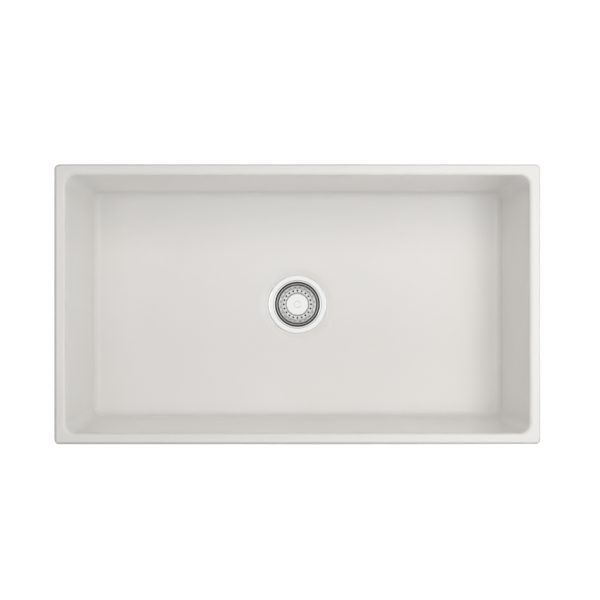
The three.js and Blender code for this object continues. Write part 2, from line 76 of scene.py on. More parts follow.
# straight above the sink, as the photo was taken
view = {"aboveRim": 1.511, "lens": 52.73, "shiftX": 0.00425, "shiftY": 0.0072}
cameraData = bpy.data.cameras.new("photoCamera")
cameraData.lens = view["lens"]
cameraData.shift_x = view["shiftX"]
cameraData.shift_y = view["shiftY"]
camera = addObject("photoCamera", cameraData)
camera.location = (0, 0, basinHigh.z + view["aboveRim"])
scene.camera = camera


# A socket that takes part in sums; each operation adds its Math node.
class Wire:
    def __init__(self, nodes, socket):
        self.nodes = nodes
        self.socket = socket

    def math(self, operation, other=0.0):
        return self.nodes.node("ShaderNodeMath", {"operation": operation}, {0: self, 1: other})

    def __add__(self, other):
        return self.math("ADD", other)

    __radd__ = __add__

    def __sub__(self, other):
        return self.math("SUBTRACT", other)

    def __rsub__(self, other):
        return self.nodes.node("ShaderNodeMath", {"operation": "SUBTRACT"}, {0: other, 1: self})

    def __mul__(self, other):
        return self.math("MULTIPLY", other)

    __rmul__ = __mul__

    # a soft step from 0 below low to 1 above high
    def ramp(self, low, high):
        values = {"Value": self, "From Min": low, "From Max": high}
        return self.nodes.node("ShaderNodeMapRange", {"interpolation_type": "SMOOTHSTEP"}, values)


# The nodes of a material or of the world; node() makes every one of them.
class Nodes:
    def __init__(self, owner):
        owner.use_nodes = True
        self.tree = owner.node_tree
        self.tree.nodes.clear()

    def node(self, kind, settings=None, values=None, out=None):
        made = self.tree.nodes.new(kind)
        for key, value in (settings or {}).items():
            setattr(made, key, value)
        for key, value in (values or {}).items():
            socket = made.inputs[key] if isinstance(key, int) else self.named(made.inputs, key)
            if isinstance(value, Wire):
                self.tree.links.new(value.socket, socket)
            else:
                socket.default_value = value
        return Wire(self, self.named(made.outputs, out))

    def named(self, sockets, name):
        return next((s for s in sockets if s.enabled and name in (None, s.name)), None)

    def blend(self, share, first, second):
        first, second = [(*c, 1) if isinstance(c, tuple) else c for c in (first, second)]
        return self.node("ShaderNodeMix", {"data_type": "RGBA"}, {"Factor": share, "A": first, "B": second})

    # 1 for what the camera sees, also in a mirror or through glass, and 0 for what lights the sink
    def seen(self):
        rays = ("Is Camera Ray", "Is Glossy Ray", "Is Transmission Ray")
        camera, mirror, glass = [self.node("ShaderNodeLightPath", out=ray) for ray in rays]
        return camera.math("MAXIMUM", mirror).math("MAXIMUM", glass)


class Finish(Nodes):
    def __init__(self, name):
        self.material = bpy.data.materials.new(name)
        super().__init__(self.material)
        self.spot = self.node("ShaderNodeTexCoord", out="Object")

    def vector(self, operation, first, second=(0, 0, 0), out=None):
        return self.node("ShaderNodeVectorMath", {"operation": operation}, {0: first, 1: second}, out)

    def part(self, vector, axis):
        return self.node("ShaderNodeSeparateXYZ", {}, {"Vector": vector}, axis)

    def noise(self, perMetre, detail=3.0, roughness=0.5, stretch=(1, 1, 1)):
        where = self.vector("MULTIPLY", self.spot, stretch)
        values = {"Vector": where, "Scale": perMetre, "Detail": detail, "Roughness": roughness}
        return self.node("ShaderNodeTexNoise", {}, values)

    # the way from the sink's upright middle line to the spot, laid flat
    def outwards(self):
        return self.vector("MULTIPLY", self.spot, (1, 1, 0))

    # distance from that line, in metres
    def radius(self):
        return self.vector("LENGTH", self.outwards(), out="Value")

    def along(self, axis):
        return self.part(self.spot, axis)

    def height(self):
        return self.along("Z")

    # 1 where a lathe-turned piece, at rest, faces up or inwards, and 0 on its outside
    def inside(self):
        facing = self.node("ShaderNodeNewGeometry", out="Normal")
        away = self.vector("DOT_PRODUCT", facing, self.vector("NORMALIZE", self.outwards()), "Value")
        return (self.part(facing, "Z") - away).ramp(-0.1, 0.1)

    def bump(self, height, distance, strength=1.0, after=None):
        values = {"Height": height, "Distance": distance, "Strength": strength}
        if after:
            values["Normal"] = after
        return self.node("ShaderNodeBump", {}, values)

    def surface(self, **values):
        values = {key.replace("_", " "): value for key, value in values.items()}
        shader = self.node("ShaderNodeBsdfPrincipled", {}, values)
        self.node("ShaderNodeOutputMaterial", {}, {"Surface": shader})
        return self


# Points on an arc round (r, z), angles in degrees.
def arc(r, z, radius, start, end, steps):
    angles = [radians(start + (end - start) * i / steps) for i in range(steps + 1)]
    return [(r + radius * cos(a), z + radius * sin(a)) for a in angles]


# A closed outline from corners (r, z, rounding).
def rounded(corners, steps=4):
    outline = []
    for i, (r, z, rounding) in enumerate(corners):
        if rounding == 0:
            outline.append((r, z))
            continue
        here = Vector((r, z))
        before = (Vector(corners[i - 1][:2]) - here).normalized()
        after = (Vector(corners[(i + 1) % len(corners)][:2]) - here).normalized()
        half = before.angle(after) / 2
        middle = here + (before + after).normalized() * (rounding / sin(half))
        start = here + before * (rounding / tan(half)) - middle
        end = here + after * (rounding / tan(half)) - middle
        first = atan2(start.y, start.x)
        turn = (atan2(end.y, end.x) - first + pi) % (2 * pi) - pi
        for s in range(steps + 1):
            angle = first + turn * s / steps
            outline.append((middle.x + rounding * cos(angle), middle.y + rounding * sin(angle)))
    return outline


# The points of a straight run cut into short steps, without its last point.
def run(start, end, step):
    count = max(1, round(hypot(end[0] - start[0], end[1] - start[1]) / step))
    return [tuple(a + (b - a) * i / count for a, b in zip(start, end)) for i in range(count)]


# Cuts a closed outline's sides into steps: all of them, or those that chosen(start, end) picks.
def divided(outline, step, chosen=None):
    points = []
    for start, end in zip(outline, outline[1:] + outline[:1]):
        points += run(start, end, step) if chosen is None or chosen(start, end) else [start]
    return points


def shadeSmooth(mesh, sharpAngle=38):
    mesh.polygons.foreach_set("use_smooth", [True] * len(mesh.polygons))
    mesh.set_sharp_from_angle(angle=radians(sharpAngle))
    return mesh


def finishMesh(name, bm, sharpAngle=38):
    bmesh.ops.remove_doubles(bm, verts=bm.verts, dist=1e-7)
    bmesh.ops.recalc_face_normals(bm, faces=bm.faces)
    mesh = bpy.data.meshes.new(name)
    bm.to_mesh(mesh)
    bm.free()
    return shadeSmooth(mesh, sharpAngle)


# Turns a closed outline round the Z axis; reshape(r, z, angle) may give another radius.
def spin(name, outline, steps=128, reshape=None, sharpAngle=38):
    bm = bmesh.new()
    rings = []
    for i in range(steps):
        angle = 2 * pi * i / steps
        ring = []
        for r, z in outline:
            wide = reshape(r, z, angle) if reshape else r
            ring.append(bm.verts.new((wide * cos(angle) * mm, wide * sin(angle) * mm, z * mm)))
        rings.append(ring)
    count = len(outline)
    for i in range(steps):
        here, there = rings[i], rings[(i + 1) % steps]
        for a in range(count):
            b = (a + 1) % count
            corners = [here[a], here[b]] + [there[k] for k in (b, a) if outline[k][0] != 0]
            if len(corners) > 2:  # three next to the middle line, none along it
                bm.faces.new(corners)
    bmesh.ops.delete(bm, geom=[v for v in bm.verts if not v.link_faces], context="VERTS")
    return finishMesh(name, bm, sharpAngle)


# A reshape that winds a screw thread on the outside of a wall.
def threadOn(crest, low, high, pitch, depth):
    def reshape(r, z, angle):
        if r < crest - touching or not low < z < high:
            return r
        fade = min(1, (z - low) / pitch, (high - z) / pitch)
        phase = z / pitch - angle / (2 * pi)
        wave = 1 - abs(2 * (phase - floor(phase)) - 1)
        return r - depth * fade * min(1, 1.25 * wave)  # cut off, so the groove has a flat bottom
    return reshape


# A reshape that raises tapered lugs on the outside of a ring, between two heights.
def lugsOn(outer, count, reach, width, low, high, edge=0.8):
    def reshape(r, z, angle):
        if r < outer - 2.5:  # the bore stays round
            return r
        turn = angle * count / (2 * pi)
        across = abs(turn - round(turn)) * 2 * pi * outer / count
        flank = (width / 2 - across) / (0.2 * width)  # each flank takes a fifth of the lug
        ends = min(z - low, high - z) / edge
        rise = max(0, min(1, flank, ends))
        rise = rise * rise * (3 - 2 * rise)
        return max(r, outer + reach * rise) if rise > 0 else r
    return reshape


def addPiece(name, mesh, finish, body, slot, *nodes):
    piece = addObject(name, mesh)
    piece.data.materials.append(finish.material)
    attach(piece, body)
    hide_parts(*nodes)
    return piece


# White glaze over fireclay; the underside is bare clay with an uneven glaze line. Lengths are in metres.
def makeGlaze():
    look = {
        "glaze": (0.858, 0.852, 0.832),
        "thinGlaze": (0.846, 0.832, 0.806),
        "rimShadeGlaze": (0.822, 0.816, 0.797),
        "flangeLightGlaze": (0.93, 0.925, 0.91),  # painted light close round the flange, against the shade of its edge
        "edgeShadeGlaze": (0.68, 0.675, 0.655),  # painted shade on the outer top edge
        "cornerShadeGlaze": (0.575, 0.57, 0.54),  # deeper painted shade on the same edge, towards the front left corner
        "clay": (0.62, 0.54, 0.43),
        "clayDark": (0.50, 0.42, 0.32),
        "speck": (0.30, 0.24, 0.18),
        "rimBand": (-0.002, -0.0005),  # heights against the rim, for the painted shade on its top
        "edgeBand": (-0.007, -0.003),
        "edgeReach": (-0.0045, -0.0015),  # against the outer faces
        "widerReach": (-0.012, -0.008),  # the painted shade on the edge is wider on the left and in front
        "widerBy": 0.0015,
        "flangeLightReach": (0.059, 0.064),  # from the middle of the drain
        "glazeLine": 0.0032,
        "glazeFade": 0.0004,
        "bareFacing": (0.55, 0.65),  # how far a bare face looks down
        "bareBelow": (0.009, 0.0095),
    }
    f = Finish("fireclayGlaze")
    drift = f.noise(4.5, 2)
    mottle = f.noise(55, 4, 0.6)
    peel = f.noise(420, 2)
    ripple = f.noise(28, 1)
    thin = drift.ramp(0.3, 0.7) * 0.5 + mottle.ramp(0.35, 0.75) * 0.25
    tone = f.blend(thin, look["glaze"], look["thinGlaze"])

    def towardsRim(low, high):
        return f.height().ramp(basinHigh.z + low, basinHigh.z + high)

    # painted shade: the top of the rim is a little darker
    tone = f.blend(towardsRim(*look["rimBand"]), tone, look["rimShadeGlaze"])
    # painted light: a lighter glaze close round the flange, against the shade of its edge
    tone = f.blend(1 - f.radius().ramp(*look["flangeLightReach"]), tone, look["flangeLightGlaze"])
    # painted shade on the outer top edge, deepest towards the front left corner
    reachX = f.along("X").math("ABSOLUTE") - basinHigh.x
    reachY = f.along("Y").math("ABSOLUTE") - basinHigh.y
    leftFace = f.along("X") * -1 - basinHigh.x
    frontFace = f.along("Y") * -1 - basinHigh.y
    wider = leftFace.math("MAXIMUM", frontFace).ramp(*look["widerReach"]) * look["widerBy"]
    edge = (reachX.math("MAXIMUM", reachY) + wider).ramp(*look["edgeReach"])
    edge = edge * towardsRim(*look["edgeBand"])
    corner = f.along("X") * (-0.5 / basinHigh.x) - f.along("Y") * (0.5 / basinHigh.y)
    wearAndShade = (corner + drift * 0.3 - 0.15).ramp(-0.3, 0.3)
    tone = f.blend(edge, tone, f.blend(wearAndShade, look["edgeShadeGlaze"], look["cornerShadeGlaze"]))

    grain = f.noise(900, 5, 0.7)
    speck = f.noise(260, 2, 0.5)
    clay = f.blend(grain.ramp(0.35, 0.7), look["clay"], look["clayDark"])
    clay = f.blend(speck.ramp(0.68, 0.72), clay, look["speck"])

    facing = f.node("ShaderNodeNewGeometry", out="Normal")
    down = f.part(facing, "Z") * -1.0
    waver = f.height() + (f.noise(40, 3) - 0.5) * 0.003
    low = 1 - waver.ramp(look["glazeLine"] - look["glazeFade"], look["glazeLine"] + look["glazeFade"])
    under = down.ramp(*look["bareFacing"]) * (1 - f.height().ramp(*look["bareBelow"]))
    bare = low.math("MAXIMUM", under)

    glossy = 0.085 + mottle * 0.03 + drift * 0.02
    rough = glossy * (1 - bare) + (0.82 + grain * 0.1) * bare
    soft = f.bump(ripple * 0.8 + drift * 0.4, 0.0004, 0.35)
    soft = f.bump(peel, 0.00002, 0.25, soft)
    soft = f.bump(grain * bare, 0.0003, 0.8, soft)
    colour = f.blend(bare, tone, clay)
    return f.surface(Base_Color=colour, Roughness=rough, Normal=soft, IOR=1.52)


# Steel turned on a lathe, with fine rings round the middle line; where the mask in the look says so it is
# rougher, and darker as painted shade.
def makeTurnedSteel(name, look):
    f = Finish(name)
    turned = {"W": (f.radius() + f.height()) * look["ringsPerMetre"], "Scale": 1.0, "Detail": 3.0}
    rings = f.node("ShaderNodeTexNoise", {"noise_dimensions": "1D"}, turned)
    smear = f.noise(70, 4, 0.6)
    scratch = f.noise(1500, 2, 0.5, (1, 0.04, 1)).ramp(0.66, 0.74)
    tone = look["tone"]
    colour = f.blend(smear.ramp(0.4, 0.8) * 0.3 + rings * 0.2, tone, tuple(0.93 * c for c in tone))
    rough = look["roughness"] * (0.8 + rings * 0.4) + smear.ramp(0.45, 0.8) * 0.04 + scratch * 0.03
    if "dullAndShade" in look:
        # painted shade: where the mask is on, the colour goes dark and the steel rougher
        dullAndShade = look["dullAndShade"](f)
        colour = f.blend(dullAndShade, colour, tuple(look["shadeShare"] * c for c in tone))
        rough = rough + dullAndShade * 0.3
    normal = f.bump(rings, look["ringDepth"], 0.6)
    return f.surface(Base_Color=colour, Metallic=1.0, Roughness=rough, Normal=normal)


# Die-cast zinc: a sandy skin, brighter where handling has rubbed the high spots.
def makeCastZinc():
    look = {"tone": (0.46, 0.47, 0.48), "shade": (0.36, 0.37, 0.385), "rubbed": (0.58, 0.59, 0.60)}
    f = Finish("castZinc")
    sand = f.noise(1100, 4, 0.6)
    cloud = f.noise(60, 4, 0.6)
    rubbed = f.noise(25, 3).ramp(0.5, 0.75)
    colour = f.blend(cloud.ramp(0.3, 0.7), look["tone"], look["shade"])
    colour = f.blend(rubbed * 0.4, colour, look["rubbed"])
    rough = 0.52 + sand * 0.12 - rubbed * 0.14
    skin = f.bump(sand, 0.00012, 0.5)
    return f.surface(Base_Color=colour, Metallic=1.0, Roughness=rough, Normal=skin)


# Moulded rubber with a faint bloom and fine pits.
def makeRubber(name, tone, bloom):
    f = Finish(name)
    pits = f.noise(1600, 3, 0.6)
    cloud = f.noise(90, 4, 0.6)
    colour = f.blend(cloud.ramp(0.4, 0.8) * 0.6 + pits * 0.2, tone, bloom)
    rough = 0.62 + cloud * 0.16 + pits * 0.06
    skin = f.bump(pits, 0.00008, 0.5)
    return f.surface(Base_Color=colour, Roughness=rough, Normal=skin, Specular_IOR_Level=0.4)


# Pressed fibre card with long and short fibres.
def makeFibre():
    look = {"tone": (0.40, 0.26, 0.135), "shade": (0.27, 0.165, 0.08), "fleck": (0.16, 0.10, 0.055)}
    f = Finish("pressedFibre")
    long = f.noise(900, 4, 0.6, (1, 0.12, 1))
    cross = f.noise(800, 4, 0.6, (0.15, 1, 1))
    fleck = f.noise(420, 2).ramp(0.64, 0.70)
    colour = f.blend(long.ramp(0.35, 0.7), look["tone"], look["shade"])
    colour = f.blend(fleck, colour, look["fleck"])
    skin = f.bump(long + cross, 0.0001, 0.6)
    return f.surface(Base_Color=colour, Roughness=0.82 + cross * 0.12, Normal=skin)


# Moulded plastic with faint flow marks.
def makePlastic(name, tone, roughness):
    f = Finish(name)
    flow = f.noise(120, 3, 0.5, (1, 1, 0.3))
    fine = f.noise(1400, 2)
    colour = f.blend(flow.ramp(0.35, 0.75), tone, tuple(0.94 * c for c in tone))
    rough = roughness + flow * 0.08 + fine * 0.04
    return f.surface(Base_Color=colour, Roughness=rough, Normal=f.bump(fine, 0.00003, 0.4))


# The flange is polished and its mouth a little darker and rougher; the wall inside is painted nearly black
# as painted shade, and the cone and the outside below the flange are satin, and darkened as painted shade.
# Radii and heights are in metres.
bodyDullAndShade = {
    "below": (0.0239, 0.0246), "satin": 0.35, "insideFrom": (0.0410, 0.0420),
    "mouthTo": (0.0475, 0.0481), "mouth": 0.09,
}


def bodyDullAndShadeMask(f):
    d = bodyDullAndShade
    # painted shade: the inside wall round the basket goes nearly black, the rest below the flange a third
    # of the way
    dark = f.inside() * f.radius().ramp(*d["insideFrom"])
    below = (1 - f.height().ramp(*d["below"])) * (d["satin"] + dark * (1 - d["satin"]))
    mouth = (1 - f.radius().ramp(*d["mouthTo"])) * d["mouth"]
    return below.math("MAXIMUM", mouth)


# Painted shade: inside, the steep wall of the basket is painted dark, its outside, slope and bead a little;
# the same mask also roughens them.
basketDullAndShade = {
    "wallFrom": (0.0108, 0.0118), "wallTo": (0.0200, 0.0208), "outside": 0.3,
    "beadFrom": (0.0392, 0.0398), "bead": 0.34,
    "slopeFrom": (0.0250, 0.0262), "slopeTo": (0.0310, 0.0340), "slope": 0.26,
}


def basketDullAndShadeMask(f):
    d = basketDullAndShade
    # painted shade: the basket's steep wall goes dark, most of all inside
    wall = f.height().ramp(*d["wallFrom"]) * (1 - f.height().ramp(*d["wallTo"]))
    wall = wall * (d["outside"] + f.inside() * (1 - d["outside"]))
    bead = f.radius().ramp(*d["beadFrom"]) * d["bead"]
    slope = f.radius().ramp(*d["slopeFrom"]) * (1 - f.radius().ramp(*d["slopeTo"])) * d["slope"]
    return wall.math("MAXIMUM", bead).math("MAXIMUM", slope)


polish = {"tone": (0.86, 0.86, 0.852), "roughness": 0.10, "ringDepth": 0.000004, "ringsPerMetre": 3000}
glaze = makeGlaze()
polishedSteel = makeTurnedSteel("polishedSteel", polish)
flangeSteel = makeTurnedSteel("flangeSteel", {**polish, "dullAndShade": bodyDullAndShadeMask, "shadeShare": 0.04})
pressedSteel = makeTurnedSteel("pressedSteel", {
    "tone": (0.92, 0.92, 0.91), "roughness": 0.26, "ringDepth": 0.00001, "ringsPerMetre": 2500,
    "dullAndShade": basketDullAndShadeMask, "shadeShare": 0.16,
})
chromedTube = makeTurnedSteel("chromedTube", {
    "tone": (0.56, 0.56, 0.565), "roughness": 0.09, "ringDepth": 0.000003, "ringsPerMetre": 2500,
})
satinSteel = makeTurnedSteel("satinSteel", {
    "tone": (0.68, 0.68, 0.68), "roughness": 0.24, "ringDepth": 0.00001, "ringsPerMetre": 3500,
})
castZinc = makeCastZinc()
blackRubber = makeRubber("blackRubber", (0.018, 0.018, 0.019), (0.05, 0.05, 0.051))
greyRubber = makeRubber("greyRubber", (0.15, 0.155, 0.16), (0.24, 0.245, 0.25))
pressedFibre = makeFibre()
whitePlastic = makePlastic("whitePlastic", (0.78, 0.78, 0.765), 0.38)
print("finishes ready")


# the basin is one loft, from the drain hole over the floor, walls and rim to the foot
basin = {
    "floorLow": 25, "floorFall": 3, "fillet": 14.5, "corner": 18,
    "wall": 19, "sideDraft": 0, "frontDraft": 3, "lip": 6,
    "outerEdge": 4, "outerCorner": 8.5, "footEdge": 5, "foot": 30, "footSlope": 8, "footHeight": 6,
    "hole": 46, "holeEdge": 1.5, "recessDepth": 4, "recessFlat": 59, "recessSlope": 13, "recessBend": 20,
    "boss": 20, "bossGap": 3,
    "uneven": 0.10, "calmTo": 75, "unevenFrom": 130,  # wave of the hand-finished clay, none near the drain
    "calmFoot": 8, "calmRise": 20,  # and none at the foot
}
halfX = basinHigh.x / mm
halfY = basinHigh.y / mm
rimZ = basinHigh.z / mm
basinSteps = {
    "bend": 14, "hole": 5, "recess": 6, "floor": 12, "fillet": 14,
    "wall": 10, "lip": 12, "edge": 10, "footEdge": 8, "panel": 6,
}
fanStep = 2.5  # degrees between points, seen from the middle
sideStep = 25  # of the outer faces
leastCorner = 0.5


# half the bowl's length and width at a height
def bowlHalf(z):
    lean = (rimZ - z) / (rimZ - basin["floorLow"])
    x = halfX - basin["wall"] - basin["sideDraft"] * lean
    y = halfY - basin["wall"] - basin["frontDraft"] * lean
    return x, y


# shares of a straight side at which its points fan out evenly, seen from the middle
def fanShares(along, across):
    reach = atan2(along, across)
    count = round(2 * reach / radians(fanStep))
    angles = [-reach + 2 * reach * i / count for i in range(1, count)]
    return [(1 + across * tan(a) / along) / 2 for a in angles]


floorEdge = basin["floorLow"] + basin["floorFall"]
floorX, floorY = bowlHalf(floorEdge + basin["fillet"])
endShares = fanShares(floorY - basin["corner"], floorX)
longShares = fanShares(floorX - basin["corner"], floorY)


# Points round a rectangle with rounded corners; every ring of the basin has as many.
def rectangleRing(x, y, corner, z):
    corner = max(corner, leastCorner)
    bends = [
        arc(sideX * (x - corner), sideY * (y - corner), corner, turn, turn + 90, basinSteps["bend"])
        for sideX, sideY, turn in ((1, 1, 0), (-1, 1, 90), (-1, -1, 180), (1, -1, 270))
    ]
    points = []
    for i, bend in enumerate(bends):
        points += bend
        end = bends[(i + 1) % 4][0]
        for share in longShares if i % 2 == 0 else endShares:
            points.append(tuple(p + (q - p) * share for p, q in zip(bend[-1], end)))
    return [(px, py, z) for px, py in points]


directions = [atan2(y, x) for x, y, z in rectangleRing(floorX, floorY, basin["corner"], 0)]


def circleRing(radius, z):
    return [(radius * cos(a), radius * sin(a), z) for a in directions]


# the rings from the first one to the second, without either
def between(first, second, count):
    rings = []
    for share in (i / count for i in range(1, count)):
        rings.append([tuple(p + (q - p) * share for p, q in zip(a, b)) for a, b in zip(first, second)])
    return rings


def basinRings():
    b = basin
    s = basinSteps
    recessZ = b["floorLow"] - b["recessDepth"]
    holeTop = recessZ - b["holeEdge"]
    holeOut = b["hole"] + b["holeEdge"]
    rings = [circleRing(b["hole"], b["bossGap"] + b["holeEdge"]), circleRing(b["hole"], holeTop)]
    rings += [circleRing(r, z) for r, z in arc(holeOut, holeTop, b["holeEdge"], 180, 90, s["hole"])]
    recessEdge = b["recessFlat"] + b["recessSlope"]
    cone = [
        (holeOut, recessZ, 0), (b["recessFlat"], recessZ, b["recessBend"]),
        (recessEdge, b["floorLow"], b["recessBend"]), (recessEdge + b["recessSlope"], b["floorLow"], 0),
    ]
    rings += [circleRing(r, z) for r, z in rounded(cone, s["recess"])[1:-1]]

    # the floor runs from the round recess to the straight fillet, with a slight fall
    outer = rectangleRing(floorX - b["fillet"], floorY - b["fillet"], b["corner"] - b["fillet"], floorEdge)
    rings += between(rings[-1], outer, s["floor"])
    for out, z in arc(-b["fillet"], floorEdge + b["fillet"], b["fillet"], -90, 0, s["fillet"]):
        rings.append(rectangleRing(floorX + out, floorY + out, b["corner"] + out, z))

    rimX, rimY = bowlHalf(rimZ)
    lip = arc(b["lip"], rimZ - b["lip"], b["lip"], 180, 90, s["lip"])
    lipRings = [rectangleRing(rimX + out, rimY + out, b["corner"] + out, z) for out, z in lip]
    rings += between(rings[-1], lipRings[0], s["wall"])
    rings += lipRings

    outside = arc(-b["outerEdge"], rimZ - b["outerEdge"], b["outerEdge"], 90, 0, s["edge"])
    outside += run(outside[-1], (0, b["footEdge"]), sideStep)[1:]
    outside += arc(-b["footEdge"], b["footEdge"], b["footEdge"], 0, -90, s["footEdge"])
    rings += [rectangleRing(halfX + out, halfY + out, b["outerCorner"] + out, z) for out, z in outside]

    # the foot, the panel inside it and the boss round the drain
    foot = b["footEdge"] + b["foot"]
    panel = foot + b["footSlope"]
    rings.append(rectangleRing(halfX - foot, halfY - foot, b["corner"], 0))
    rings.append(rectangleRing(halfX - panel, halfY - panel, b["corner"], b["footHeight"]))
    boss = b["hole"] + b["boss"]
    wide = circleRing(boss + b["footHeight"] - b["bossGap"], b["footHeight"])
    rings += between(rings[-1], wide, s["panel"])
    rings += [wide, circleRing(boss, b["bossGap"]), circleRing(holeOut, b["bossGap"])]
    return rings


# Joins the rings in order, and the last one to the first.
def loft(name, rings):
    bm = bmesh.new()
    made = [[bm.verts.new((x * mm, y * mm, z * mm)) for x, y, z in ring] for ring in rings]
    for here, there in zip(made, made[1:] + made[:1]):
        for a, (p, q) in enumerate(zip(here, there)):
            b = (a + 1) % len(here)
            bm.faces.new((p, q, there[b], here[b]))
    return finishMesh(name, bm)


# Pressed and hand-finished clay is never quite flat.
def makeUneven(mesh):
    b = basin
    mesh.update()
    normals = [v.normal.copy() for v in mesh.vertices]
    for vertex, normal in zip(mesh.vertices, normals):
        x, y, z = (c / mm for c in vertex.co)
        calm = max(0, min(1, (hypot(x, y) - b["calmTo"]) / (b["unevenFrom"] - b["calmTo"])))
        calm *= max(0, min(1, (z - b["calmFoot"]) / b["calmRise"]))
        wave = sin(x / 31 + 1.3 * sin(y / 47)) + sin(y / 27 + z / 39 + 0.7) + sin(z / 23 + x / 61 + 2.1)
        vertex.co += normal * (b["uneven"] * wave / 3 * calm * mm)


basinMesh = loft("glazedBasin", basinRings())
makeUneven(basinMesh)
addPiece("glazedBasin", basinMesh, glaze, "sink", "glaze", "fireclay_basin")
print("basin lofted")


# crowned flange, threaded wall, cone and outlet spigot
body = {
    "sheet": 1.4, "bend": 1.0, "clearance": 1.2, "crown": 0.7, "crownInset": 2.2, "groove": 0.5,
    "cone": 12, "outlet": 19.05, "landWidth": 10, "spigotLength": 22, "spiderDrop": 11, "ledge": 1.5,
    "pitch": 2.0, "threadDepth": 0.42, "threadEnd": 5,
    "spigotWall": 4.4, "spigotPitch": 2.2, "spigotThread": 0.5, "spigotThreadEnd": 4,
    "grooveSlope": 0.4, "grooveWidth": 1.1,
}


def bodyOutline():
    b = body
    low, top, flange = spanOf("strainer_body")
    outer = basin["hole"] - b["clearance"]
    inner = outer - b["sheet"]
    face = top - b["crown"]
    under = face - b["sheet"]
    mouth = b["bend"] + b["sheet"]
    landUnder = low + b["spigotLength"]
    landTop = landUnder + b["sheet"]
    straightEnd = landTop + b["cone"]
    land = b["outlet"] + b["landWidth"]
    spigot = b["outlet"] + b["spigotWall"]
    ledgeTop = landUnder - b["spiderDrop"]
    crownEnd = inner + mouth + b["crownInset"]
    slope = atan2(inner - land, b["cone"])

    crown = [
        (crownEnd + (flange - crownEnd) * sin(a), face + b["crown"] * cos(a))
        for a in (pi / 2 * (1 - i / 12) for i in range(13))
    ]
    threadTop = under - b["threadEnd"]
    outline = [(flange - 0.25, under), (flange, under + 0.3)]
    outline += crown
    outline += [(crownEnd - b["grooveSlope"], face - b["groove"]), (crownEnd - b["grooveWidth"], face)]
    outline += arc(inner + mouth, face - mouth, mouth, 90, 180, 10)
    outline += rounded([
        (inner, face - mouth - 1, 0),
        (inner, straightEnd, 3),
        (land, landTop, 2.5),
        (b["outlet"], landTop, 0.5),
        (b["outlet"], ledgeTop, 0),
        (b["outlet"] - b["ledge"], ledgeTop, 0.2),
        (b["outlet"] - b["ledge"], low, 0.3),
        (spigot, low, 0.4),
        (spigot, landUnder, 0.3),
        (land + b["sheet"] * tan((pi / 2 - slope) / 2), landUnder, 1.5),
        (outer, straightEnd - b["sheet"] * tan(slope / 2), 3),
        (outer, threadTop, 0),
    ])
    outline += arc(inner + mouth, face - mouth, b["bend"], 180, 90, 6)
    return outline, outer, straightEnd, threadTop, spigot, low, landUnder


def makeBody():
    b = body
    outline, outer, straightEnd, threadTop, spigot, low, landUnder = bodyOutline()

    def threaded(start, end):
        return start[0] == end[0] and start[0] in (outer, spigot)

    fine = divided(outline, b["pitch"] / 8, threaded)
    onWall = threadOn(outer, straightEnd + 1, threadTop, b["pitch"], b["threadDepth"])
    spigotEnd = landUnder - b["spigotThreadEnd"]
    onSpigot = threadOn(spigot, low + 0.5, spigotEnd, b["spigotPitch"], b["spigotThread"])

    def reshape(r, z, angle):
        if abs(r - outer) < touching:
            return onWall(r, z, angle)
        if abs(r - spigot) < touching:
            return onSpigot(r, z, angle)
        return r

    return spin("strainerShell", fine, 160, reshape)


addPiece("strainerShell", makeBody(), flangeSteel, "sink", "polished_steel", "strainer_body")


# the rings that clamp and seal the strainer
def addWasher(name, node, width, finish, slot, rounding, bodyName="sink"):
    low, high, outer = spanOf(node)
    inner = outer - width
    corners = [(r, z, rounding) for r, z in ((inner, low), (outer, low), (outer, high), (inner, high))]
    return addPiece(name, spin(name, rounded(corners)), finish, bodyName, slot, node)


addWasher("flangeGasket", "flange_gasket", 9, greyRubber, "grey_rubber", 0.4)
addWasher("rubberWasher", "under_washer", 12, blackRubber, "black_rubber", 0.6)
addWasher("fibreWasher", "friction_washer", 12, pressedFibre, "fibre", 0.15)
addWasher("tailpieceSeal", "tailpiece_washer", 5.55, whitePlastic, "white_plastic", 0.4)

lockNut = {
    "inner": 45.2, "wall": 7, "edge": 1.2, "skirt": 3, "skirtHeight": 2.5,
    "lugs": 8, "reach": 5.5, "width": 12,
}


def makeLockNut():
    n = lockNut
    low, high, _ = spanOf("lock_nut")
    outer = n["inner"] + n["wall"]
    skirt = high - n["skirtHeight"]
    corners = rounded([
        (n["inner"], low, 0.5), (outer, low, n["edge"]), (outer, skirt, 0.8),
        (outer + n["skirt"], skirt, 0.5), (outer + n["skirt"], high, 0.5), (n["inner"], high, 0.5),
    ])
    lugs = lugsOn(outer, n["lugs"], n["reach"], n["width"], low + n["edge"] / 2, high - n["edge"])
    return spin("lockNutCasting", divided(corners, 0.8), 384, lugs)


addPiece("lockNutCasting", makeLockNut(), castZinc, "sink", "cast_zinc", "lock_nut")

couplingNut = {
    "wall": 3.4, "floor": 3, "throat": 20.45, "ribs": 8, "reach": 2.4, "width": 7, "edge": 1.2,
}


def makeCouplingNut():
    n = couplingNut
    low, high, reached = spanOf("coupling_nut")
    outer = reached - n["reach"]
    inner = outer - n["wall"]
    corners = rounded([
        (n["throat"], low, 0.5), (outer, low, n["edge"]), (outer, high, 0.7),
        (inner, high, 0.5), (inner, low + n["floor"], 0.3), (n["throat"], low + n["floor"], 0.3),
    ])
    ribs = lugsOn(outer, n["ribs"], n["reach"], n["width"], low + n["edge"] / 2, high - n["edge"] / 2)
    return spin("couplingNutCasting", divided(corners, 0.8), 320, ribs)


addPiece("couplingNutCasting", makeCouplingNut(), castZinc, "sink", "cast_zinc", "coupling_nut")

tailpiece = {"sheet": 1.2, "flange": 2, "outer": 19.05}


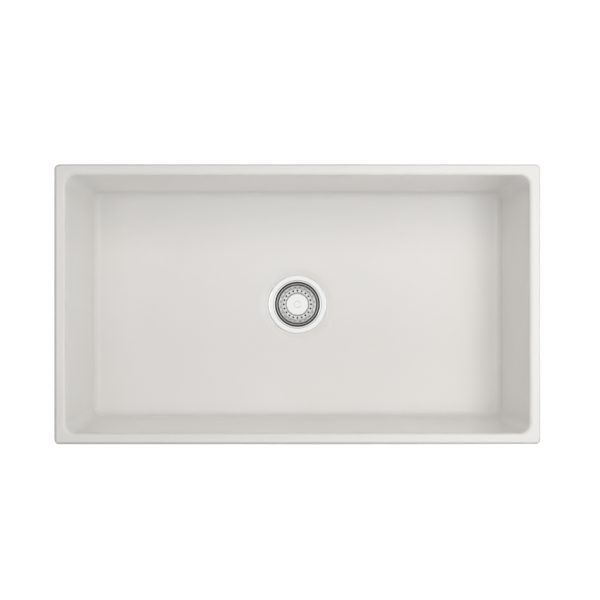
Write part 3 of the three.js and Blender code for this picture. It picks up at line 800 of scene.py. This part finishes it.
def makeTailpiece():
    t = tailpiece
    low, high, flange = spanOf("tailpiece")
    inner = t["outer"] - t["sheet"]
    return spin("tailpieceTube", rounded([
        (inner, low, 0.3), (t["outer"], low, 0.3), (t["outer"], high - t["flange"], 0.8),
        (flange, high - t["flange"], 0.4), (flange, high, 0.4), (inner, high, 0.6),
    ]))


addPiece("tailpieceTube", makeTailpiece(), chromedTube, "sink", "polished_steel", "tailpiece")

spider = {
    "height": 4, "ring": 2, "hubWall": 3, "hubBore": 4.9,
    "arms": 4, "armWidth": 3, "armHeight": 3, "armEdge": 0.5,
}


def applyModifiers(piece):
    evaluated = piece.evaluated_get(bpy.context.evaluated_depsgraph_get())
    mesh = bpy.data.meshes.new_from_object(evaluated)
    piece.modifiers.clear()
    piece.data = mesh


# a bevelled bar along X, turned to its place round the hub
def spiderArm(length, reach, middle, angle):
    s = spider
    bm = bmesh.new()
    bmesh.ops.create_cube(bm, size=1)
    bmesh.ops.scale(bm, verts=bm.verts, vec=(length * mm, s["armWidth"] * mm, s["armHeight"] * mm))
    bmesh.ops.bevel(bm, geom=bm.edges, offset=s["armEdge"] * mm, segments=3, affect="EDGES")
    bmesh.ops.translate(bm, verts=bm.verts, vec=(reach * mm, 0, middle * mm))
    bmesh.ops.rotate(bm, verts=bm.verts, cent=(0, 0, 0), matrix=Matrix.Rotation(angle, 3, "Z"))
    return finishMesh("arm", bm)


def makeSpider():
    s = spider
    low, high, outer = spanOf("outlet_spider")
    ringLow = high - s["height"]
    ringInner = outer - s["ring"]
    hubOuter = s["hubBore"] + s["hubWall"]
    ring = spin("spiderRing", rounded([
        (ringInner, ringLow, 0.4), (outer, ringLow, 0.3), (outer, high, 0.4), (ringInner, high, 0.6),
    ]), 96)
    hub = spin("spiderHub", rounded([
        (s["hubBore"], low, 0.5), (hubOuter, low, 0.6), (hubOuter, high, 0.9), (s["hubBore"], high, 0.8),
    ]), 64)
    armEnd = ringInner + s["ring"] / 2
    length = armEnd - (hubOuter - s["hubWall"] / 2)
    reach = (armEnd + hubOuter - s["hubWall"] / 2) / 2
    middle = (low + high) / 2 + (high - low - s["height"]) / 2
    turns = [2 * pi * i / s["arms"] for i in range(s["arms"])]

    piece = addObject("spiderCasting", ring)
    for part in [hub] + [spiderArm(length, reach, middle, turn) for turn in turns]:
        tool = addObject("tool", part)
        union = piece.modifiers.new("union", "BOOLEAN")
        union.operation = "UNION"
        union.object = tool
        union.solver = "EXACT"
        applyModifiers(piece)
        bpy.data.objects.remove(tool)
    mesh = piece.data
    bpy.data.objects.remove(piece)
    return shadeSmooth(mesh)


addPiece("spiderCasting", makeSpider(), satinSteel, "sink", "brushed_steel", "outlet_spider")
print("strainer and outlet built")


# the basket is one pierced sheet, mapped from flat cells onto its profile
cup = {
    "sheet": 1.0, "bead": 0.9, "lean": 2.7, "drop": 12.4, "slopeRun": 6.7, "bore": 4.3,
    "holes": 20, "hole": 1.9, "holeInset": 3.4, "slotLength": 6.6, "slotWidth": 0.95,
    "punch": 0.22,  # rounding of the punched edges
    "channel": (23.8, 20.6), "channelDepth": 1.0, "channelSlope": 1.4,  # pressed round the knob
    "slotCell": 2.6, "holeCell": 2.9,  # half the depth of the cells round the openings
    "columns": 8, "rows": 8,  # of points round a cell
    "shares": (1, 0.66, 0.36, 0.14, 0),  # rings of a cell, from its border to its opening
}


def cupProfile():
    c = cup
    low, high, rim = spanOf("basket_cup")
    floorTop = low + c["sheet"]
    top = Vector((rim - 2 * c["bead"], high - c["bead"]))
    foot = Vector((top.x - c["lean"], top.y - c["drop"]))
    slopeFoot = Vector((foot.x - c["slopeRun"], floorTop))
    channelOut, channelIn = c["channel"]
    sunk = floorTop - c["channelDepth"]
    line = rounded([
        (top.x, top.y + 1, 0), (top.x, top.y, 0), (foot.x, foot.y, 2.2), (slopeFoot.x, slopeFoot.y, 2.2),
        (channelOut, floorTop, 1.1), (channelOut - c["channelSlope"], sunk, 0.5),
        (channelIn + c["channelSlope"], sunk, 0.5), (channelIn, floorTop, 1.1),
        (c["bore"], floorTop, 0), (0, floorTop, 0),
    ])[1:-1]
    return line, foot, slopeFoot


# A line of the sheet's upper face, which can be walked along.
class Profile:
    def __init__(self, line):
        self.line = [Vector(p) for p in line]
        self.lengths = [0.0]
        for a, b in zip(self.line, self.line[1:]):
            self.lengths.append(self.lengths[-1] + (b - a).length)
        self.sides = []
        for a, b in zip(self.line[:1] + self.line, self.line[1:] + self.line[-1:]):
            way = (b - a).normalized()
            self.sides.append(Vector((-way.y, way.x)))

    # the point at a length along the line, sunk into the sheet by depth
    def at(self, along, depth):
        along = max(0, min(self.lengths[-1], along))
        i = max(k for k, l in enumerate(self.lengths[:-1]) if l <= along)
        share = (along - self.lengths[i]) / (self.lengths[i + 1] - self.lengths[i])
        point = self.line[i].lerp(self.line[i + 1], share)
        side = self.sides[i].lerp(self.sides[i + 1], share).normalized()
        return point + side * depth

    # the length along the line at which it comes nearest to a point
    def lengthNear(self, r, z, tries=2000):
        stops = [self.lengths[-1] * k / (tries - 1) for k in range(tries)]
        return min(stops, key=lambda stop: (self.at(stop, 0) - Vector((r, z))).length)


def makeCup():
    c = cup
    line, foot, slopeFoot = cupProfile()
    profile = Profile(line)
    total = profile.lengths[-1]
    columns = c["holes"] * c["columns"]
    step = 2 * pi / columns
    bm = bmesh.new()

    def place(r, z, angle):
        return bm.verts.new((r * cos(angle) * mm, r * sin(angle) * mm, z * mm))

    def vertex(along, angle, depth):
        return place(*profile.at(along, depth), angle)

    def stitch(grid, flip):
        for here, there in zip(grid, grid[1:]):
            for j in range(len(here)):
                k = (j + 1) % len(here)
                face = (here[j], here[k], there[k], there[j])
                bm.faces.new(face[::-1] if flip else face)

    def plainBand(start, end, depth, flip):
        stops = [start] + [l for l in profile.lengths if start + 0.05 < l < end - 0.05] + [end]
        stitch([[vertex(along, step * j, depth) for j in range(columns)] for along in stops], flip)

    # one cell of the sheet with an opening in the middle
    def cell(middleAlong, middleAngle, halfAlong, opening):
        half = c["columns"] // 2
        rows = c["rows"]
        border = [(x / half, -1.0) for x in range(-half, half)]
        border += [(1.0, -1 + 2 * y / rows) for y in range(rows)]
        border += [(x / half, 1.0) for x in range(half, -half, -1)]
        border += [(-1.0, 1 - 2 * y / rows) for y in range(rows)]
        around = profile.at(middleAlong, 0).x
        ways = [atan2(v * halfAlong, u * half * step * around) for u, v in border]

        def ringAt(share, depth, grow):
            ring = []
            for (u, v), way in zip(border, ways):
                x, y = opening(way, grow)
                edgeX = u * half * step * around
                edgeY = v * halfAlong
                px = x + (edgeX - x) * share
                py = y + (edgeY - y) * share
                angle = u * half * step if share == 1 else px / around
                ring.append(vertex(middleAlong + py, middleAngle + angle, depth))
            return ring

        # over the top, round the punched edges and back underneath
        p = c["punch"]
        sheet = c["sheet"]
        top = [ringAt(share, 0, p) for share in c["shares"]]
        edges = ((p * 0.3, p * 0.3), (p, 0), (sheet - p, 0), (sheet - p * 0.3, p * 0.3))
        wall = [ringAt(0, depth, grow) for depth, grow in edges]
        bottom = [ringAt(share, sheet, p) for share in reversed(c["shares"])]
        stitch(top + wall + bottom, False)

    def roundHole(way, grow):
        return (c["hole"] + grow) * cos(way), (c["hole"] + grow) * sin(way)

    def slot(way, grow):
        halfWidth = c["slotWidth"] / 2 + grow
        straight = c["slotLength"] / 2 + grow - halfWidth
        dx, dy = cos(way), sin(way)
        if abs(dy) > 1e-9 and abs(dx) * halfWidth / abs(dy) <= straight:
            t = halfWidth / abs(dy)
            return dx * t, dy * t
        root = max(0, (straight * dx) ** 2 - straight ** 2 + halfWidth ** 2)
        t = straight * abs(dx) + root ** 0.5
        return dx * t, dy * t

    slotMiddle = (foot + slopeFoot) / 2
    slotAlong = profile.lengthNear(*slotMiddle)
    holeAlong = profile.lengthNear(slopeFoot.x - c["holeInset"], slopeFoot.y)
    slotHalf, holeHalf = c["slotCell"], c["holeCell"]
    bands = [
        (0, slotAlong - slotHalf),
        (slotAlong + slotHalf, holeAlong - holeHalf),
        (holeAlong + holeHalf, total),
    ]
    for start, end in bands:
        plainBand(start, end, 0, False)
        plainBand(start, end, c["sheet"], True)
    for i in range(c["holes"]):
        turn = 2 * pi * i / c["holes"]
        cell(holeAlong, turn, holeHalf, roundHole)
        cell(slotAlong, turn + pi / c["holes"], slotHalf, slot)

    # the rolled bead joins both sides at the rim; a plain edge joins them at the bore
    start = profile.at(0, 0)
    end = profile.at(0, c["sheet"])
    middle = Vector((start.x + c["bead"], start.y))
    bead = [(start.x, start.y)]
    bead += arc(middle.x, middle.y, c["bead"], 180, -95, 20)[1:]
    bead.append((end.x, end.y))
    stitch([[place(r, z, step * j) for j in range(columns)] for r, z in bead], True)
    stitch([[vertex(total, step * j, d) for j in range(columns)] for d in (0, c["sheet"])], False)
    bmesh.ops.remove_doubles(bm, verts=bm.verts, dist=2e-6)
    return finishMesh("basketSheet", bm, 50)


addPiece("basketSheet", makeCup(), pressedSteel, "basket", "polished_steel", "basket_cup")
print("basket pierced")


knob = {
    "edge": 1.1, "sheet": 0.8, "dimple": 7, "dimpleDepth": 1.1, "dimpleStep": 0.75, "dimpleSlope": 0.9,
    "waistInset": 5, "footInset": 2.5, "footHeight": 2.4, "boreDepth": 10.3,
}


def makeKnobCap():
    k = knob
    low, high, radius = spanOf("knob_cap")
    floorRadius = k["dimple"] - k["dimpleSlope"]
    dish = k["dimpleDepth"] - k["dimpleStep"]  # how far the dimple's floor sags
    ball = (floorRadius ** 2 + dish ** 2) / (2 * dish)
    middle = high - k["dimpleDepth"] + ball
    sagRadii = [floorRadius * (1 - i / 10) for i in range(11)]
    sag = [(r, middle - (ball ** 2 - r ** 2) ** 0.5) for r in sagRadii]
    corners = [(radius, high, 0), (k["dimple"], high, 0.5), (*sag[0], 0.5), (0, sag[-1][1], 0)]
    bends = rounded(corners, 5)[1:-1]
    outer = [(radius, low + 0.2)]
    outer += arc(radius - k["edge"], high - k["edge"], k["edge"], 0, 90, 12)
    outer += bends + [p for p in sag if p[0] < bends[-1][0] - 0.1]
    s = k["sheet"]
    inner = [(0, sag[-1][1] - s), (floorRadius, sag[0][1] - s), (k["dimple"] + s, high - s)]
    inner += arc(radius - k["edge"], high - k["edge"], k["edge"] - s, 90, 0, 5)
    inner += [(radius - s, low + 0.2), (radius - s * 0.75, low), (radius - s * 0.25, low)]
    return spin("knobCap", outer + inner)


def makeKnobCore():
    k = knob
    low, top, wide = spanOf("knob_core")
    capLow, _, radius = spanOf("knob_cap")
    waist = radius - k["waistInset"]
    bore = cup["bore"]
    boreTop = low + k["boreDepth"]
    return spin("knobCore", rounded([
        (0, top, 0), (wide - 0.2, top, 1.4), (wide, capLow + 0.3, 0.3), (wide, capLow, 0.2),
        (waist + 1.6, capLow - 1.6, 1.5), (waist, (low + capLow) / 2, 2),
        (waist, low + k["footHeight"], 1.5),
        (radius - k["footInset"], low, 0.4), (bore, low, 0.3), (bore, boreTop, 0), (0, boreTop, 0),
    ]), 112)


addPiece("knobCap", makeKnobCap(), polishedSteel, "basket", "polished_steel", "knob_cap")
addPiece("knobCore", makeKnobCore(), whitePlastic, "basket", "white_plastic", "knob_core")

post = {
    "radius": 5, "neck": 4, "end": 2.4, "endLength": 7, "collarHeight": 3, "gap": 0.3,
    "pitch": 1.25, "thread": 0.35, "threadLength": 6,
}


def makePost():
    p = post
    low, high, collar = spanOf("post")
    cupLow = spanOf("basket_cup")[0]
    plateTop = spanOf("seal_plate")[1]
    collarTop = cupLow - p["gap"]
    shoulder = plateTop + p["gap"]
    neckLow = low + p["endLength"]
    outline = rounded([
        (0, high, 0), (p["neck"], high, 0.5), (p["neck"], collarTop, 0), (collar, collarTop, 0.4),
        (collar, collarTop - p["collarHeight"] / 2, 0.4), (p["radius"], collarTop - p["collarHeight"], 0.5),
        (p["radius"], shoulder, 0.4), (p["neck"], shoulder, 0), (p["neck"], neckLow, 0.3),
        (p["end"], neckLow, 0), (p["end"], low, 0.4), (0, low, 0),
    ])

    def onNeck(start, end):
        return start[0] == end[0] == p["neck"] and start[1] <= shoulder

    fine = divided(outline, p["pitch"] / 8, onNeck)
    thread = threadOn(p["neck"], neckLow + 0.3, shoulder - p["threadLength"], p["pitch"], p["thread"])

    def reshape(r, z, angle):
        return thread(r, z, angle) if abs(r - p["neck"]) < touching else r

    return spin("turnedPost", fine, 96, reshape)


addPiece("turnedPost", makePost(), satinSteel, "basket", "brushed_steel", "post")


def makeSealPlate():
    low, high, outer = spanOf("seal_plate")
    bore = cup["bore"]
    corners = [(bore, low, 0.15), (outer, low, 0.3), (outer, high, 0.4), (bore, high, 0.15)]
    return spin("sealPlate", rounded(corners), 96)


seal = {"hub": 19, "groove": 1.6, "outlet": 19.05, "lip": 0.8}


def makeSeal():
    s = seal
    low, high, outer = spanOf("stopper_seal")
    return spin("rubberSeal", rounded([
        (cup["bore"], low, 0.3), (s["outlet"] - s["groove"], low, 0.3),
        (s["outlet"], low + s["groove"] / 2, 0.3),
        (s["outlet"] + s["groove"], low, 0.3), (outer - s["lip"], low, 0.3), (outer, low + s["lip"], 0.4),
        (outer - s["lip"], low + 2 * s["lip"], 0.4), (s["hub"] + s["lip"], high - s["lip"], 0.6),
        (s["hub"], high, 0.4), (cup["bore"], high, 0.3),
    ]), 112)


addPiece("sealPlate", makeSealPlate(), satinSteel, "stopper", "brushed_steel", "seal_plate")
addPiece("rubberSeal", makeSeal(), blackRubber, "stopper", "black_rubber", "stopper_seal")
nutWasherWidth = spanOf("nut_washer")[2] - cup["bore"]
addWasher("nutWasher", "nut_washer", nutWasherWidth, satinSteel, "brushed_steel", 0.15, "basket")

hexNut = {"chamfer": 0.6, "chamferHeight": 1, "chamferSlope": 1.5, "wearAndShade": 0.1, "step": 0.25}


def makeHexNut():
    n = hexNut
    low, high, corner = spanOf("retaining_nut")
    flats = corner * cos(pi / 6)
    ring = flats - n["chamfer"]
    bore = cup["bore"]
    middle = (low + high) / 2

    def reshape(r, z, angle):
        if r < bore + 1:
            return r
        side = angle % (pi / 3) - pi / 6
        hexagon = flats / cos(side)
        past = max(0, abs(z - middle) - (high - low) / 2 + n["chamferHeight"])
        chamfer = corner - n["wearAndShade"] - past * n["chamferSlope"]
        return min(hexagon, max(chamfer, ring)) if r > flats - 1 else min(r, hexagon)

    corners = [(bore, low), (ring, low), (corner, low + 0.01)]
    corners += [(corner, high - 0.01), (ring, high), (bore, high)]
    return spin("hexNut", divided(corners, n["step"]), 144, reshape, 25)


addPiece("hexNut", makeHexNut(), satinSteel, "basket", "brushed_steel", "retaining_nut")

tip = {"section": 0.8, "stand": 0.15, "play": 0.1, "ringDrop": 5, "nose": 2, "bore": 2.7, "boreDepth": 7.6}


def makeTip():
    t = tip
    low, high, radius = spanOf("post_tip")
    ringZ = high - t["ringDrop"]
    half = t["section"] + t["play"]
    groove = radius + t["stand"] - t["section"] - half
    boreEnd = high - t["boreDepth"]
    return spin("postTip", rounded([
        (t["bore"], high, 0.2), (radius, high, 0.4),
        (radius, ringZ + half, 0.15), (groove, ringZ + half, 0.1),
        (groove, ringZ - half, 0.1), (radius, ringZ - half, 0.15), (radius, low + t["nose"], 1.2),
        (radius - t["nose"] / 2, low, 0.8), (0, low, 0), (0, boreEnd, 0), (t["bore"], boreEnd, 0.1),
    ]), 72)


def makeGripRing():
    low, high, outer = spanOf("grip_ring")
    section = arc(outer - tip["section"], (low + high) / 2, tip["section"], 0, 345, 23)
    return spin("gripRing", section, 72)


addPiece("postTip", makeTip(), whitePlastic, "basket", "white_plastic", "post_tip")
addPiece("gripRing", makeGripRing(), blackRubber, "basket", "black_rubber", "grip_ring")
print("knob, post and stopper built")


# lengths in metres; the sky is how bright the world lights the sink
stage = {"size": 8.0, "below": 0.004, "tone": 0.80, "glow": 0.7, "sky": 0.345, "lampsFace": (0, 0, 0.1)}


def makeFloor():
    f = Finish("paleFloor")
    speckle = f.noise(300, 3)
    tone = f.blend(speckle, (stage["tone"],) * 3, (0.99 * stage["tone"],) * 3)
    shown = f.blend(f.seen(), (0, 0, 0), (1, 1, 1))
    f.surface(Base_Color=tone, Roughness=0.9, Emission_Color=shown, Emission_Strength=stage["glow"])
    bm = bmesh.new()
    bmesh.ops.create_grid(bm, x_segments=8, y_segments=8, size=stage["size"] / 2)
    mesh = bpy.data.meshes.new("paleFloor")
    bm.to_mesh(mesh)
    bm.free()
    mesh.materials.append(f.material)
    sheet = addObject("paleFloor", mesh)
    sheet.location.z = cadBounds[0].z - stage["below"]


def makeWorld():
    world = bpy.data.worlds.new("studio")
    scene.world = world
    nodes = Nodes(world)
    colour = nodes.blend(nodes.seen(), (stage["sky"],) * 3, (1, 1, 1))
    back = nodes.node("ShaderNodeBackground", {}, {"Color": colour, "Strength": 1.0})
    nodes.node("ShaderNodeOutputWorld", {}, {"Surface": back})


pink = (1.0, 0.94, 0.93)
lamps = {
    "above": {"at": (0.0, 0.0, 3.2), "size": (1.2, 1.2), "power": 5.4},
    "rightEnd": {"at": (0.5, 0.05, 1.2), "size": (0.8, 0.4), "power": 3.8},
    "rightLow": {"at": (1.5, 0.0, 0.75), "size": (2.8, 0.5), "power": 4.0, "mirrored": True},
    "rightHigh": {"at": (1.3, 0.0, 2.4), "size": (0.8, 0.5), "power": 0.9, "mirrored": True},
    "left": {"at": (-2.5, 0.2, 2.2), "size": (1.8, 1.8), "power": 5.6, "mirrored": True, "tint": pink},
    "leftHigh": {"at": (-1.1, 0.1, 2.5), "size": (0.8, 0.5), "power": 1.3, "mirrored": True, "tint": pink},
    "back": {"at": (0.1, 1.1, 2.5), "size": (1.6, 0.7), "power": 8.5, "tint": pink},
    "front": {"at": (0.2, -2.3, 2.1), "size": (2.4, 1.4), "power": 7.1},
}


def addLamp(name, lamp):
    data = bpy.data.lights.new(name, "AREA")
    data.shape = "RECTANGLE"
    data.size, data.size_y = lamp["size"]
    data.energy = lamp["power"]
    data.color = lamp.get("tint", (1, 1, 1))
    piece = addObject(name, data)
    piece.location = lamp["at"]
    piece.visible_camera = False
    piece.visible_glossy = lamp.get("mirrored", False)
    toSink = Vector(stage["lampsFace"]) - Vector(lamp["at"])
    piece.rotation_euler = toSink.to_track_quat("-Z", "Y").to_euler()


makeFloor()
makeWorld()
for name, lamp in lamps.items():
    addLamp(name, lamp)
print("stage lit")
